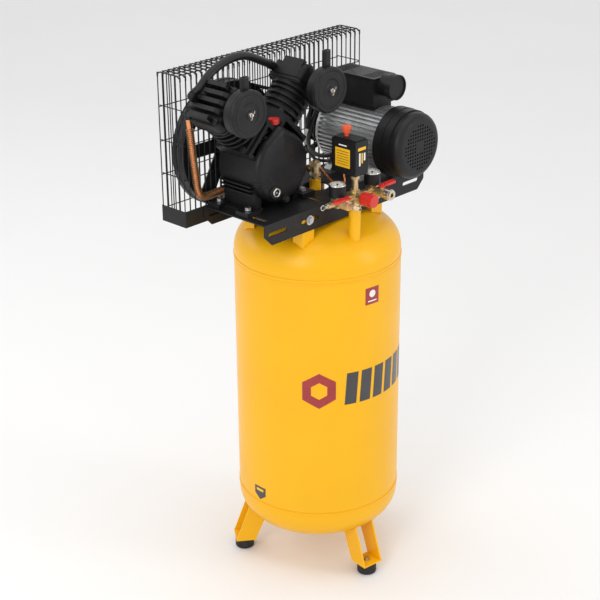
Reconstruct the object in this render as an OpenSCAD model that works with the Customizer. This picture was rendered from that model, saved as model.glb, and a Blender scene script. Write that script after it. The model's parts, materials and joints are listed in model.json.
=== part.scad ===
// Vertical tank air compressor: belt-driven V-twin pump, motor and wire belt guard on a
// bed plate above an upright three-legged tank, with a pressure switch and outlet manifold.
// Millimetres. Z up, z = 0 on the floor. -Y is the operator side, +Y the belt side.

/* [Position] */
// Tank axis, X from the middle of the floor area
tank_x = 39.27; // [30:0.01:50]
// Tank axis, Y from the middle of the floor area
tank_y = 8.4; // [5:0.01:40]

/* [Tank] */
// Outside diameter of the tank
tank_d = 400; // [360:5:450]
// Height of the bottom weld above the floor
seam_z = 196; // [180:1:220]
// Distance between the two welds
shell_h = 610; // [500:5:700]
// Plate thickness
tank_t = 3; // [2:0.5:5]
// Crown radius of the heads
crown_r = 340; // [320:1:380]
// Knuckle radius of the heads
knuckle_r = 72; // [60:1:80]

/* [Legs] */
// Compass angle of the left leg
leg_turn = 142; // [120:1:150]
// Distance between the outer faces of a leg's side plates
leg_w = 57; // [45:1:70]
// Height of the rubber feet
rubber_h = 29; // [20:1:35]

/* [Bed plate] */
// Length of the bed plate
bed_l = 549; // [500:1:600]
// Width of the bed plate
bed_w = 196; // [180:1:220]
// Height of the top face above the floor
bed_z = 971; // [950:1:990]
// Depth of the side flanges
bed_flange = 51; // [40:1:60]
// Sheet thickness
bed_t = 3; // [2:0.5:5]

/* [Belt guard] */
// Left end of the guard from the tank axis
guard_x = -326; // [-340:1:-310]
// Length of the guard
guard_l = 588; // [560:1:620]
// Depth of the guard
guard_d = 75; // [60:0.5:90]
// Height of the top wires above the floor
guard_z = 1280; // [1250:1:1300]
// Wire diameter
wire_d = 2.6; // [2:0.1:4]
// Number of wire spaces along the guard
guard_n = 36; // [30:1:40]

/* [Pump] */
// Crankshaft position, X from the tank axis
pump_x = -160; // [-175:1:-145]
// Crankshaft height above the floor
crank_z = 1085; // [1070:1:1100]
// Angle of each cylinder from upright
bank_angle = 45; // [30:1:45]
// Cylinder bore
bore_d = 65; // [55:1:70]
// Piston stroke
stroke = 46; // [40:1:50]
// Flywheel diameter
flywheel_d = 296; // [260:1:300]
// Belt plane, Y from the tank axis
belt_y = 140; // [130:1:150]

/* [Motor] */
// Motor axis, X from the tank axis
motor_x = 172; // [160:1:185]
// Motor axis height above the floor
motor_z = 1061; // [1050:1:1070]
// Diameter over the cooling fins
motor_d = 154; // [140:1:170]
// Diameter of the fan cover
cowl_d = 164; // [150:1:180]
// Pulley diameter
pulley_d = 104; // [90:1:120]

/* [Outlet] */
// Outlet riser, X from the tank axis
riser_x = -36; // [-50:1:-20]
// Outlet riser, Y from the tank axis
riser_y = -150; // [-160:1:-140]
// Height of the outlet manifold above the floor
manifold_z = 991; // [980:1:1000]
// Distance of each outlet from the riser
outlet_dx = 59; // [50:1:65]

/* [Hidden] */
$fn = 64;

tank_r = tank_d / 2;
head_flange = 18;
head_h = crown_r - sqrt(pow(crown_r - knuckle_r, 2) - pow(tank_r - knuckle_r, 2));
top_z = seam_z + shell_h + head_flange;
low_z = seam_z - head_flange;
knuckle_at = crown_r * (tank_r - knuckle_r) / (crown_r - knuckle_r);
crown_z = top_z - (crown_r - head_h);
check_x = -4;
check_y = 3;

leg_angles = [leg_turn, leg_turn + 120, leg_turn + 240];
leg_out = 217;
leg_in = 168;
leg_t = 4;
leg_top_out = 180.5;
leg_top_in = 137;
foot_r = (leg_out + leg_in) / 2;

flange_y = bed_w / 2;
bracket_x = [-131, 105];
bracket_w = 37;

strip_t = 3;
guard_y = flange_y + strip_t;
guard_back_y = guard_y + guard_d;
strip_z = bed_z - 40;
strip_h = 38;
guard_pitch = guard_l / guard_n;
guard_rails = [962, 1042, 1120, 1200];
guard_bend = 12;

bank_y = [22, 38];
bore_r = bore_d / 2;
base_n = 85;
deck_n = 168;
head_n = 180;
head_top = 228;
head_half = 50;
head_lid = 27;
elbow_x = 7;
elbow_y = 38;
elbow_n = 236;
head_bolt = 40;
base_bolt = 38;
crank_r = stroke / 2;
rod_l = 98;
wheel_r = flywheel_d / 2;
filter_n = 187.4;
filter_in = 6.4;
filter_r = 53;
case_y0 = -30;
case_y1 = 76;
cap_y = -18;
boss_y = 98;
run_gap = 0.05;
face_gap = 0.3;

motor_y0 = -95;
motor_y1 = 88;
shaft_r = 12;
pulley_r = pulley_d / 2;
cowl_r = cowl_d / 2;
cowl_y = -168;
belt_w = 12;
belt_t = 8;
belt_ra = wheel_r - 1;
belt_rb = pulley_r - 1;
belt_d = norm([motor_x - pump_x, motor_z - crank_z]);
belt_lie = atan2(motor_z - crank_z, motor_x - pump_x);
belt_turn = acos((belt_ra - belt_rb) / belt_d);
belt_span = belt_d * sin(belt_turn);

box_x = 172;
box_w = 84;
box_y0 = -58;
box_y1 = 88;
box_z0 = 1145;
box_z1 = 1210;
cup_z = 1190;

switch_y0 = -170;
switch_y1 = -98;
switch_x0 = -57;
switch_x1 = -15;
switch_z0 = 1045;
switch_z1 = 1128;
gauge_z = 1006;
gauge_h = 32;
gauge_r = 19.5;
valve_end = -186;

// ---- helpers -----------------------------------------------------------------

module placed() {
    translate([tank_x, tank_y, 0]) children();
}

module rod_x(r, x0, x1) {
    translate([x0, 0, 0]) rotate([0, 90, 0]) cylinder(r = r, h = x1 - x0);
}

module rod_y(r, y0, y1) {
    translate([0, y0, 0]) rotate([-90, 0, 0]) cylinder(r = r, h = y1 - y0);
}

module rod_z(r, z0, z1) {
    translate([0, 0, z0]) cylinder(r = r, h = z1 - z0);
}

// Extrude an X-Z outline from y0 to y1
module slab_y(y0, y1) {
    translate([0, y1, 0]) rotate([90, 0, 0]) linear_extrude(y1 - y0) children();
}

// Extrude a Y-Z outline from x0 to x1
module slab_x(x0, x1) {
    translate([x0, 0, 0]) rotate([90, 0, 90]) linear_extrude(x1 - x0) children();
}

// Extrude an X-Y outline from z0 to z1
module slab_z(z0, z1) {
    translate([0, 0, z0]) linear_extrude(z1 - z0) children();
}

// Rectangle centred on the origin with round corners
module round_rect(w, h, r) {
    square([w, h - 2 * r], center = true);
    square([w - 2 * r, h], center = true);
    for (x = [-1, 1], y = [-1, 1])
        translate([x * (w / 2 - r), y * (h / 2 - r)]) circle(r);
}

// Slot with round ends, length l along X
module slot(l, w) {
    square([l - w, w], center = true);
    for (s = [-1, 1]) translate([s * (l - w) / 2, 0]) circle(w / 2);
}

// Outline round two circles and the straight runs that touch both
module two_circles(a, ra, b, rb) {
    d = norm(b - a);
    lie = atan2(b[1] - a[1], b[0] - a[0]);
    turn = acos((ra - rb) / d);
    up = [cos(lie + turn), sin(lie + turn)];
    dn = [cos(lie - turn), sin(lie - turn)];
    translate(a) circle(ra);
    translate(b) circle(rb);
    polygon([a + ra * up, b + rb * up, b + rb * dn, a + ra * dn]);
}

// Hexagon bolt standing on z = 0, head up, with a washer
module bolt(d, grip, washer = 1.8) {
    rod_z(d / 2, -grip, 0.1);
    rod_z(d, 0, 1.8);
    cylinder(r = d * washer / 2, h = 1.8);
    translate([0, 0, 1.7]) cylinder(r = d * 0.92, h = d * 0.62, $fn = 6);
}

// Points of a smooth curve through the route, steps per span
function spline(p, steps) = [
    for (i = [0:len(p) - 2], s = [0:steps - 1 + (i == len(p) - 2 ? 1 : 0)])
    let (a = p[max(i - 1, 0)], b = p[i], c = p[i + 1], e = p[min(i + 2, len(p) - 1)])
    let (t = s / steps)
    0.5 * (2 * b + (c - a) * t + (2 * a - 5 * b + 4 * c - e) * t * t
        + (3 * b - a - 3 * c + e) * t * t * t)
];
function unit(v) = v / norm(v);

// Round cable or tube along a route; ref is a direction the route never follows
module routed(p, r, ref, steps = 5, sides = 12) {
    c = spline(p, steps);
    n = len(c);
    ring = [for (i = [0:n - 1])
        let (t = unit(c[min(i + 1, n - 1)] - c[max(i - 1, 0)]))
        let (u = unit(cross(t, ref)), v = cross(t, u))
        for (k = [0:sides - 1]) c[i] + r * (cos(360 * k / sides) * u + sin(360 * k / sides) * v)];
    side = [for (i = [0:n - 2], k = [0:sides - 1], h = [0, 1])
        let (a = i * sides + k, b = i * sides + (k + 1) % sides)
        h == 0 ? [a, a + sides, b + sides] : [a, b + sides, b]];
    lids = [[for (k = [0:sides - 1]) k], [for (k = [0:sides - 1]) n * sides - 1 - k]];
    polyhedron(ring, concat(side, lids));
}

// ---- tank and legs --------------------------------------------------------------

module dish_outline(cut) {
    r = tank_r - cut;
    k = knuckle_r - cut;
    c = crown_r - cut;
    centre = -(crown_r - head_h);
    slope = (tank_r - knuckle_r) / (crown_r - head_h);
    translate([0, -head_flange]) square([r, head_flange]);
    intersection() {
        translate([tank_r - knuckle_r, 0]) circle(k);
        square([tank_r, head_h]);
    }
    intersection() {
        translate([0, centre]) circle(c);
        polygon([[0, centre], [(crown_r + 60) * slope, crown_r + 60 + centre], [0, crown_r]]);
    }
    polygon([[0, 0], [0, centre / 8], [tank_r - knuckle_r, 0]]);
    intersection() {
        translate([0, centre]) circle(c);
        square([tank_r - knuckle_r, head_h]);
    }
}

module dish(cut) {
    rotate_extrude() difference() {
        dish_outline(cut);
        translate([-2 * tank_r, -tank_r]) square([2 * tank_r, 2 * tank_r + head_h]);
    }
}

module head_shell() {
    difference() {
        dish(0);
        dish(tank_t);
        translate([0, 0, -head_flange - 1]) cylinder(r = tank_r - tank_t, h = 4);
    }
    translate([0, 0, -head_flange]) rotate_extrude()
        translate([tank_r - 1, 0]) square([2.2, 6]);
}

module tank_shell() {
    color("gold") difference() {
        rod_z(tank_r, seam_z, seam_z + shell_h, $fn = 128);
        rod_z(tank_r - tank_t, seam_z - 1, seam_z + shell_h + 1, $fn = 128);
    }
}

module tank_heads() {
    color("gold") difference() {
        translate([0, 0, top_z]) head_shell();
        translate([check_x, check_y, 0]) rod_z(9, top_z, top_z + head_h + 1);
        translate([riser_x, riser_y, 0]) rod_z(9, top_z, top_z + head_h + 1);
    }
    color("gold") difference() {
        translate([0, 0, low_z]) mirror([0, 0, 1]) head_shell();
        rod_z(7, low_z - head_h - 2, low_z);
    }
}

// Height of a head's outer surface above its flange, at a distance r from the tank axis
function dish_h(r) = r < knuckle_at
    ? sqrt(crown_r * crown_r - r * r) - (crown_r - head_h)
    : sqrt(pow(knuckle_r, 2) - pow(r - (tank_r - knuckle_r), 2));

module leg(turn) {
    off = leg_w / 2 - leg_t;
    rotate([0, 0, turn]) difference() {
        union() {
            for (s = [-1, 1])
                slab_y(s * (leg_w - leg_t) / 2 - leg_t / 2, s * (leg_w - leg_t) / 2 + leg_t / 2)
                    polygon(concat(
                        [[leg_in, rubber_h], [leg_out, rubber_h]],
                        [for (i = [0:10])
                            let (x = leg_top_out + i / 10 * (leg_top_in - leg_top_out))
                            [x, low_z - dish_h(norm([x, off])) - 0.1]]
                    ));
            translate([leg_in, -leg_w / 2, rubber_h]) cube([leg_out - leg_in, leg_w, leg_t]);
        }
        translate([foot_r, 0, 0]) rod_z(4.5, rubber_h - 1, rubber_h + leg_t + 1);
    }
}

module legs() {
    color("gold") for (a = leg_angles) leg(a);
}

module rubber_feet() {
    color("dimgray") for (a = leg_angles) rotate([0, 0, a]) translate([foot_r, 0, 0])
        difference() {
            rotate_extrude() {
                square([19, rubber_h]);
                translate([0, 5]) square([24, rubber_h - 5]);
                translate([19, 5]) circle(5);
            }
            rod_z(9, -1, 8);
            rod_z(4.5, 7, rubber_h + 1);
        }
}

// Plate outline between the top head and the bed, along a line at distance off from the axis
module bracket_outline(a0, a1, off) {
    polygon(concat(
        [[a0, bed_z - bed_t - 2], [a1, bed_z - bed_t - 2]],
        [for (i = [0:6])
            let (a = a1 + i / 6 * (a0 - a1))
            [a, top_z + dish_h(norm([a, off])) + 0.1]]
    ));
}

module bed_brackets() {
    y1 = flange_y - bed_t;
    y0 = y1 - 4;
    color("gold") for (x = bracket_x, s = [-1, 1]) mirror([0, s < 0 ? 1 : 0, 0]) {
        x0 = x - bracket_w / 2;
        difference() {
            slab_y(y0, y1) bracket_outline(x0, x0 + bracket_w, y0);
            translate([x, 0, 946]) rod_y(5, y0 - 1, y1 + 1);
        }
        slab_x(x0, x0 + 4) bracket_outline(y1 - 32, y1 - 0.5, min(abs(x0), abs(x0 + 4)));
    }
}

module riser(x, y, r, hole, top) {
    translate([x, y, 0]) difference() {
        rod_z(r, top - 100, top);
        rod_z(hole, top - 101, top + 1);
    }
}

module tank_risers() {
    color("gold") difference() {
        union() {
            riser(check_x, check_y, 13.5, 10, 989);
            riser(riser_x, riser_y, 13.5, 10, 961);
        }
        translate([0, 0, crown_z]) sphere(r = crown_r, $fn = 128);
    }
}

// ---- bed plate and fasteners -------------------------------------------------------

module flange_outline() {
    c = 23;
    difference() {
        polygon([
            [-bed_l / 2, bed_z], [bed_l / 2, bed_z], [bed_l / 2, bed_z - bed_flange + c],
            [bed_l / 2 - c, bed_z - bed_flange], [-bed_l / 2 + c, bed_z - bed_flange],
            [-bed_l / 2, bed_z - bed_flange + c]
        ]);
        for (x = [-233, -129, 105, 225]) translate([x, 946]) slot(58, 9);
    }
}

module bed_plate() {
    color([0.14, 0.14, 0.15]) difference() {
        union() {
            translate([-bed_l / 2, -bed_w / 2, bed_z - bed_t]) cube([bed_l, bed_w, bed_t]);
            slab_y(-flange_y, -flange_y + bed_t) flange_outline();
            slab_y(flange_y - bed_t, flange_y) flange_outline();
        }
        translate([check_x, check_y, 0]) rod_z(32, bed_z - 10, bed_z + 1);
        slab_z(bed_z - 10, bed_z + 1) for (x = [-89, 89]) {
            translate([pump_x + x, -46]) rotate(90) slot(66, 10);
            translate([pump_x + x, 62]) rotate(90) slot(50, 10);
        }
        slab_z(bed_z - 10, bed_z + 1) for (x = [-70, 70], y = [-46, 46])
            translate([motor_x + x, y]) slot(40, 10);
    }
}

module frame_bolts() {
    color("silver") {
        for (x = bracket_x, s = [-1, 1])
            translate([x, s * flange_y, 946]) rotate([-90 * s, 0, 0]) bolt(8, 18, 2.8);
        for (x = [-89, 89], y = [-20, 70])
            translate([pump_x + x, y, bed_z + 12]) bolt(8, 24);
        for (x = [-70, 70], y = [-46, 46])
            translate([motor_x + x, y, bed_z + 8]) bolt(8, 20);
        for (a = leg_angles) rotate([0, 0, a]) translate([foot_r, 0, rubber_h + leg_t])
            bolt(8, 22, 2.2);
    }
}

// ---- belt guard -----------------------------------------------------------------

module wire_z(x, y, z0, z1) {
    translate([x, y, z0]) cylinder(r = wire_d / 2, h = z1 - z0, $fn = 8);
}

module wire_x(x0, x1, y, z) {
    translate([x0, y, z]) rotate([0, 90, 0]) cylinder(r = wire_d / 2, h = x1 - x0, $fn = 8);
}

module wire_y(x, y0, y1, z) {
    translate([x, y0, z]) rotate([-90, 0, 0]) cylinder(r = wire_d / 2, h = y1 - y0, $fn = 8);
}

guard_x1 = guard_x + guard_l;
guard_shoulder = guard_z - guard_bend;

module guard_back() {
    color([0.1, 0.1, 0.1]) {
        for (i = [0:guard_n])
            wire_z(guard_x + i * guard_pitch, guard_back_y, strip_z, guard_shoulder);
        for (z = guard_rails) wire_x(guard_x, guard_x1, guard_back_y - wire_d * 0.8, z);
    }
}

module guard_front() {
    color([0.1, 0.1, 0.1]) difference() {
        union() {
            for (i = [0:guard_n])
                wire_z(guard_x + i * guard_pitch, guard_y + wire_d / 2,
                    strip_z + strip_h - 10, guard_shoulder);
            for (z = guard_rails)
                wire_x(guard_x, guard_x1, guard_y + wire_d * 1.3, z);
        }
        translate([pump_x, 0, crank_z]) rod_y(50, guard_y - 5, guard_y + 12, $fn = 48);
        translate([motor_x, 0, motor_z]) rod_y(62, guard_y - 5, guard_y + 12, $fn = 48);
    }
    color([0.1, 0.1, 0.1]) for (c = [[pump_x, crank_z, 50], [motor_x, motor_z, 62]])
        translate([c[0], 0, c[1]]) difference() {
            rod_y(c[2] + 1.5, guard_y, guard_y + 3);
            rod_y(c[2] - 1.5, guard_y - 1, guard_y + 6);
        }
}

// One bent wire over the top, in the Y-Z plane
module top_wire_outline() {
    y0 = guard_y;
    y1 = guard_back_y + wire_d / 2;
    z1 = guard_z + wire_d / 2;
    b = guard_bend + wire_d / 2;
    difference() {
        union() {
            translate([y0, guard_shoulder]) square([y1 - y0, b - wire_d]);
            translate([y0 + b, guard_shoulder]) square([y1 - y0 - 2 * b, b]);
            translate([y0 + b, guard_shoulder]) circle(b);
            translate([y1 - b, guard_shoulder]) circle(b);
        }
        translate([0, guard_shoulder - 2 * b]) square([2 * guard_back_y, 2 * b]);
        translate([y0 + wire_d, guard_shoulder - 1]) square([y1 - y0 - 2 * wire_d, b - wire_d - 3]);
        translate([y0 + b, guard_shoulder - 1]) square([y1 - y0 - 2 * b, b - wire_d + 1]);
        translate([y0 + b, guard_shoulder]) circle(b - wire_d);
        translate([y1 - b, guard_shoulder]) circle(b - wire_d);
    }
}

module guard_top() {
    color([0.1, 0.1, 0.1]) {
        for (i = [0:guard_n]) {
            x = guard_x + i * guard_pitch;
            slab_x(x - wire_d / 2, x + wire_d / 2) top_wire_outline();
        }
        for (k = [0.22, 0.5, 0.78])
            wire_x(guard_x, guard_x1, guard_y + k * guard_d, guard_z - wire_d * 0.8);
    }
}

module guard_end(x, inward) {
    y0 = guard_y + wire_d;
    y1 = guard_back_y - wire_d / 2;
    for (k = [1:4])
        wire_z(x, y0 + k * (y1 - y0) / 5, strip_z + 4, guard_z - wire_d / 2);
    for (z = guard_rails) wire_y(x + inward * wire_d * 0.8, y0, y1, z + wire_d * 1.2);
}

module guard_ends() {
    color([0.1, 0.1, 0.1]) {
        guard_end(guard_x, 1);
        guard_end(guard_x1, -1);
    }
}

module guard_strip() {
    end_t = 1.5;
    x0 = guard_x - wire_d / 2;
    x1 = guard_x1 + wire_d / 2;
    color([0.14, 0.14, 0.15]) difference() {
        union() {
            translate([x0 - end_t, flange_y, strip_z])
                cube([x1 - x0 + 2 * end_t, strip_t, strip_h]);
            for (x = [x0 - end_t, x1]) translate([x, flange_y, strip_z])
                cube([end_t, guard_back_y + wire_d / 2 - flange_y, strip_h]);
        }
        for (x = bracket_x) translate([x, 0, 946]) rod_y(13, flange_y - 1, flange_y + 5);
    }
}

// ---- pump -------------------------------------------------------------------------

// Local frame of a cylinder bank: Z along the cylinder, +X to its outer side
module bank(side) {
    translate([pump_x, side < 0 ? bank_y[0] : bank_y[1], crank_z])
        rotate([0, side * bank_angle, 0])
        mirror([side < 0 ? 1 : 0, 0, 0]) children();
}

module at_crank() {
    translate([pump_x, 0, crank_z]) children();
}

module case_outline(cut) {
    translate([0, -20]) circle(82 - cut, $fn = 96);
    for (s = [-1, 1]) rotate(-s * bank_angle)
        translate([-46 + cut, -10]) square([92 - 2 * cut, base_n + 10 - cut]);
    translate([-30 + cut, 0]) square([60 - 2 * cut, 70 - cut]);
}

module crankcase() {
    color([0.12, 0.12, 0.13]) difference() {
        union() {
            at_crank() slab_y(case_y0, case_y1) case_outline(0);
            at_crank() rod_y(42, case_y1 - 1, boss_y);
            for (x = [-1, 1]) {
                translate([pump_x + x * 89 - 20, -40, bed_z]) cube([40, 38, 12]);
                translate([pump_x + x * 89 - 20, 52, bed_z]) cube([40, 36, 12]);
                translate([pump_x + (x > 0 ? 48 : -92), -28, bed_z]) cube([44, 102, 9]);
                translate([pump_x + (x > 0 ? 52 : -72), -26, bed_z]) cube([20, 98, 60]);
            }
            for (k = [0:2]) at_crank() translate([-84.5, case_y0 + 6, -52 - 9 * k])
                cube([16 + 3 * k, 94, 3]);
            at_crank() translate([0, cap_y, 0]) rod_z(11, 60, 77);
            bank(1) translate([-46, 30, 60]) cube([92, 16, base_n - 60]);
        }
        at_crank() slab_y(case_y0 - 1, case_y1 - 10) case_outline(9);
        at_crank() rod_y(31, case_y1 - 11, boss_y + 1);
        bank(-1) rod_z(bore_r + 4.5, 0, base_n + 1);
        bank(1) rod_z(bore_r + 4.5, 0, base_n + 1);
        at_crank() translate([0, cap_y, 0]) rod_z(9, 55, 90);
        for (s = [-1, 1]) bank(s) for (x = [-1, 1], y = [-1, 1])
            translate([x * base_bolt, y * base_bolt, 0]) rod_z(3.6, base_n - 9, base_n + 1);
        for (x = [-89, 89], y = [-20, 70])
            translate([pump_x + x, y, 0]) rod_z(4.6, bed_z - 1, bed_z + 13);
    }
}

module crankcase_cover() {
    color([0.12, 0.12, 0.13]) at_crank() difference() {
        union() {
            slab_y(-38, case_y0) two_circles([0, -20], 82, [0, 62], 13);
            slab_y(-46, -38) two_circles([0, -20], 77, [0, 60], 9);
            slab_y(-50, -46) two_circles([0, -20], 70, [0, 55], 5);
            translate([-32, 0, -68]) rod_y(15, -53, -40);
            translate([0, 0, -91]) rod_y(9, -54, -40);
        }
        slab_y(-44, case_y0 + 1) two_circles([0, -20], 70, [0, 48], 6);
        translate([-32, 0, -68]) rod_y(9, -60, -40);
        translate([0, 0, -88]) rod_y(4, -60, -40);
    }
}

module ring_y(ro, ri, y0, y1) {
    difference() {
        rod_y(ro, y0, y1);
        rod_y(ri, y0 - 1, y1 + 1);
    }
}

module ball_bearings() {
    color("silver") {
        at_crank() {
            ring_y(31, 24.5, 67, 79);
            ring_y(31, 24.5, 84, 96);
        }
        translate([motor_x, 0, motor_z]) {
            ring_y(23, shaft_r + run_gap, 90, 103);
            ring_y(23, shaft_r + run_gap, -107, -96);
        }
    }
}

module cylinder_body() {
    color([0.16, 0.16, 0.17]) difference() {
        union() {
            slab_z(base_n, base_n + 9) difference() {
                round_rect(92, 92, 12);
                for (x = [-1, 1], y = [-1, 1])
                    translate([x * base_bolt, y * base_bolt]) circle(3.7);
            }
            rod_z(bore_r + 8, base_n, deck_n);
            for (k = [0:3]) rod_z(head_half, 103 + 15 * k, 108.5 + 15 * k);
            rod_z(head_half + 1, deck_n - 8, deck_n);
        }
        rod_z(bore_r, base_n - 1, deck_n + 1);
    }
    color([0.16, 0.16, 0.17]) difference() {
        rod_z(bore_r + 4, base_n - 12, base_n + 1);
        rod_z(bore_r, base_n - 13, base_n + 2);
    }
}

module cylinders() {
    bank(-1) cylinder_body();
    bank(1) cylinder_body();
}

module valve_plates() {
    color("silver") for (s = [-1, 1]) bank(s) difference() {
        union() {
            slab_z(deck_n, deck_n + 3) round_rect(96, 96, 14);
            slab_z(deck_n + 3, head_n - 3) round_rect(100, 100, 14);
            slab_z(head_n - 3, head_n) round_rect(96, 96, 14);
        }
        for (a = [0:60:300]) rotate([0, 0, a]) translate([14, 0, 0])
            rod_z(4, deck_n - 1, head_n + 1);
        for (x = [-1, 1], y = [-1, 1]) translate([x * head_bolt, y * head_bolt, 0])
            rod_z(4.2, deck_n - 1, head_n + 1);
    }
}

// Y-Z side outline of a head, round at its top corners
module head_side() {
    r = 16;
    translate([-head_half, head_n]) square([2 * head_half, head_top - head_n - r]);
    translate([r - head_half, head_n]) square([2 * (head_half - r), head_top - head_n]);
    for (s = [-1, 1]) translate([s * (head_half - r), head_top - r]) circle(r);
}

module head_body(neck) {
    color([0.15, 0.15, 0.16]) difference() {
        union() {
            intersection() {
                slab_z(head_n, head_top) round_rect(2 * head_half, 2 * head_half, 14);
                slab_x(-head_half, head_half) head_side();
                union() {
                    slab_z(head_n, head_n + head_lid) square(2 * head_half, center = true);
                    for (k = [-2:2]) translate([20 * k - 5, -head_half, head_n])
                        cube([10, 2 * head_half, head_top - head_n]);
                }
            }
            difference() {
                translate([-filter_in, 0, filter_n]) rod_y(14, neck, -head_half + 2);
                translate([-40, -head_half, head_n - 30]) cube([80, 10, 30]);
            }
        }
        translate([0, 0, head_n - 1]) linear_extrude(15) {
            translate([-22, 0]) round_rect(36, 76, 8);
            translate([22, 0]) round_rect(36, 76, 8);
        }
        translate([-filter_in, 0, filter_n]) rod_y(6, neck - 1, -30);
        for (x = [-1, 1], y = [-1, 1]) translate([x * head_bolt, y * head_bolt, 0]) {
            rod_z(4.2, head_n - 1, head_top + 1);
            rod_z(11, head_n + head_lid, head_top + 1);
        }
    }
}

module cylinder_heads() {
    difference() {
        bank(-1) head_body(-44 - bank_y[0]);
        bank(-1) {
            translate([elbow_x, elbow_y, 0]) rod_z(10, head_n + head_lid, head_top + 1);
            translate([-head_half - 1, 26, head_n + 31]) cube([head_half + 9, 26, 20]);
        }
    }
    bank(1) head_body(-44 - bank_y[1]);
}

module pump_bolts() {
    color("dimgray") for (s = [-1, 1]) bank(s) {
        for (x = [-1, 1], y = [-1, 1])
            translate([x * head_bolt, y * head_bolt, head_n + head_lid]) bolt(8, 38, 1.6);
        for (x = [-1, 1], y = [-1, 1])
            translate([x * base_bolt, y * base_bolt, base_n + 9]) bolt(7, 17, 1.6);
    }
}

// Filter axis: children drawn along Y with the filter's centre on X = Z = 0
module at_filter(side) {
    a = bank_angle;
    n = filter_n;
    translate([
        pump_x + side * (n * sin(a) - filter_in * cos(a)), 0,
        crank_z + n * cos(a) + filter_in * sin(a)
    ]) children();
}

module filter_housings() {
    color([0.1, 0.1, 0.1]) for (s = [-1, 1]) at_filter(s) {
        difference() {
            union() {
                rod_y(filter_r - 3, -63, -44);
                rod_y(14.9, -44.5, -44);
            }
            rod_y(filter_r - 6, -64, -47);
            rod_y(8, -48, -43);
            translate([4, -55, 0]) slab_z(filter_r - 12, filter_r) slot(16, 8);
        }
        translate([4, -55, 0]) difference() {
            slab_z(filter_r - 6, s < 0 ? 78 : 88) slot(22, 14);
            slab_z(filter_r - 12, 90) slot(16, 8);
        }
    }
}

module filter_covers() {
    color([0.1, 0.1, 0.1]) for (s = [-1, 1]) at_filter(s) difference() {
        union() {
            rod_y(filter_r, -72, -63);
            rod_y(filter_r - 4, -75, -71);
        }
        rod_y(filter_r - 3, -70, -62);
        rod_y(33, -76, -73.5);
        rod_y(4, -80, -60);
    }
}

module filter_elements() {
    color("khaki") for (s = [-1, 1]) at_filter(s)
        ring_y(filter_r - 7, 26, -69, -48);
}

module filter_wing_nuts() {
    color("silver") for (s = [-1, 1]) at_filter(s) {
        rod_y(3, -84, -47.5);
        difference() {
            rod_y(6.5, -79.5, -73.5);
            rod_y(3, -80, -73);
        }
        for (k = [-1, 1]) rotate([0, 25, 0]) translate([k * 10, -78, 0])
            rotate([0, k * 28, 0]) cube([11, 2.4, 8], center = true);
    }
}

hose_route = [
    [-316.4, 60, 1255.1], [-312, 60, 1257.45], [-300, 61, 1265.5], [-282, 62, 1279],
    [-258, 63, 1291.5], [-220, 66, 1301.5], [-182, 70, 1303.5], [-150, 74, 1298],
    [-122, 77, 1287], [-98, 78.5, 1275.5], [-81.6, 79, 1267.9], [-77.1, 79, 1265.7]
];

module crossover_hose() {
    color([0.08, 0.08, 0.08]) routed(hose_route, 9.5, [0, 1, 0], 5, 16);
}

module hose_fittings() {
    color("silver") {
        bank(-1) {
            translate([elbow_x, elbow_y, 0]) rod_z(9, head_n + head_lid, elbow_n);
            translate([elbow_x, elbow_y, elbow_n]) sphere(9.8);
            translate([elbow_x, elbow_y, elbow_n]) rotate([0, -107, 0]) {
                rod_z(7, 0, 16);
                rod_z(11, 5, 17.2, $fn = 6);
            }
        }
        bank(1) {
            translate([-head_half, 41, 191]) rotate([0, -90, 0]) rod_z(10, 0, 6, $fn = 6);
            difference() {
                translate([-head_half - 6, 41, 191]) sphere(8.2);
                translate([-head_half - 0.1, 30, 180]) cube([6, 22, 22]);
            }
            translate([-head_half - 6, 41, 191]) rotate([0, -109, 0]) {
                rod_z(7, 0, 13);
                rod_z(11, 3, 13.7, $fn = 6);
            }
        }
        translate([-317, 0, 1200]) {
            rod_y(7, 72, 90);
            rod_y(10.5, 73, 80, $fn = 6);
            translate([0, 90, 0]) sphere(9.4);
            translate([0, 90, 0]) rod_z(8, -13.8, 0);
        }
    }
}

discharge_route = [
    [-317, 90, 1186], [-317, 90, 1183], [-316.9, 90, 1179], [-314, 90, 1160],
    [-309, 90, 1110], [-303, 90, 1060],
    [-297, 90, 1020], [-289, 90, 1002], [-272, 90, 995], [-240, 90, 996],
    [-190, 90, 999], [-130, 90, 1003], [-75, 86, 1007], [-42, 68, 1011],
    [-22, 53, 1013], [-12.7, 38, 1013], [-8.8, 22.4, 1013]
];

module discharge_tube() {
    color([0.72, 0.42, 0.27]) routed(discharge_route, 7, [0.3, 1, 0.1], 5, 12);
}

module check_valve() {
    color([0.75, 0.62, 0.32]) translate([check_x, check_y, 0]) {
        rod_z(9.9, 981, 989);
        rod_z(9, 988, 998);
        rod_z(13, 997, 1006, $fn = 6);
        rod_z(10.5, 1005, 1021);
        rod_z(13.5, 1020, 1030, $fn = 6);
        rod_z(6, 1029, 1034);
        translate([0, 0, 1013]) rotate([0, 0, 14]) {
            rod_y(6, 5, 20);
            rod_y(9, 12, 19, $fn = 6);
            rod_x(4, 5, 16);
        }
    }
}

unloader_route = [
    [11.5, 6.9, 1013], [17, 8, 1011], [21, 1, 1003], [20, -20, 989], [12, -50, 983],
    [-4, -84, 990], [-20, -104, 1010], [-30, -111, 1032], [-31, -112, 1045]
];

module unloader_tube() {
    color([0.72, 0.42, 0.27]) routed(unloader_route, 2.5, [1, 0.2, 0.4], 5, 8);
}

module oil_cap() {
    color("crimson") at_crank() translate([0, cap_y, 0]) {
        rod_z(8.8, 62, 79);
        difference() {
            rod_z(12.5, 78.2, 89);
            rod_z(14, 82, 83.5);
        }
        rod_z(11, 81, 84.5);
    }
}

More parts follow.
